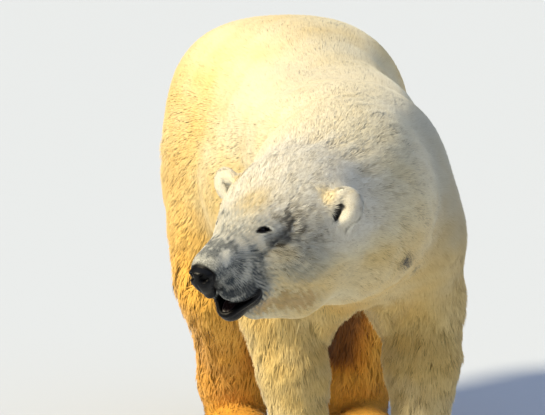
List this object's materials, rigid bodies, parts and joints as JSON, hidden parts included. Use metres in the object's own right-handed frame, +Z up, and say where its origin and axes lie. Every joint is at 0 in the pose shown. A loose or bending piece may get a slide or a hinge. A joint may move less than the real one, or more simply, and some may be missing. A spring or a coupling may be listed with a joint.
{
  "type": "polar bear",
  "caption": "Life-size still polar bear standing on four feet, head turned to its right with the mouth slightly open; built as a museum-style model.",
  "frame": {"origin": "on the floor, under the middle of the model's bounding box", "axes": "+Z up, -Y the way the body faces, +X the bear's left"},
  "size_m": [0.861, 2.2194, 1.1362],
  "materials": {
    "coat_back": "soft, short, dense fur, warm cream",
    "coat_neck": "soft, dense fur, pale cream",
    "coat_head": "fine short fur, cream on the crown and grey on the muzzle",
    "coat_foreleg": "fur in small clumps, cream to tan",
    "coat_hindleg": "longer hanging fur, stained orange-yellow",
    "claw_horn": "black-brown horn, softly glossy",
    "nose_skin": "black, moist, pebbled skin",
    "eye_gloss": "dark brown, wet gloss",
    "tongue_skin": "moist dusky pink"
  },
  "bodies": {
    "root": {"ear_left": "coat_head", "ear_right": "coat_head", "eye_left": "eye_gloss", "eye_right": "eye_gloss", "foreclaw_left_1": "claw_horn", "foreclaw_left_2": "claw_horn", "foreclaw_left_3": "claw_horn", "foreclaw_left_4": "claw_horn", "foreclaw_left_5": "claw_horn", "foreclaw_right_1": "claw_horn", "foreclaw_right_2": "claw_horn", "foreclaw_right_3": "claw_horn", "foreclaw_right_4": "claw_horn", "foreclaw_right_5": "claw_horn", "foreleg_left": "coat_foreleg", "foreleg_right": "coat_foreleg", "forepaw_left": "coat_foreleg", "forepaw_right": "coat_foreleg", "head": "coat_head", "hindclaw_left_1": "claw_horn", "hindclaw_left_2": "claw_horn", "hindclaw_left_3": "claw_horn", "hindclaw_left_4": "claw_horn", "hindclaw_left_5": "claw_horn", "hindclaw_right_1": "claw_horn", "hindclaw_right_2": "claw_horn", "hindclaw_right_3": "claw_horn", "hindclaw_right_4": "claw_horn", "hindclaw_right_5": "claw_horn", "hindleg_left": "coat_hindleg", "hindleg_right": "coat_hindleg", "hindpaw_left": "coat_hindleg", "hindpaw_right": "coat_hindleg", "jaw": "coat_head", "neck": "coat_neck", "nose": "nose_skin", "tail": "coat_hindleg", "tongue": "tongue_skin", "trunk": "coat_back"}
  },
  "joints": []
}
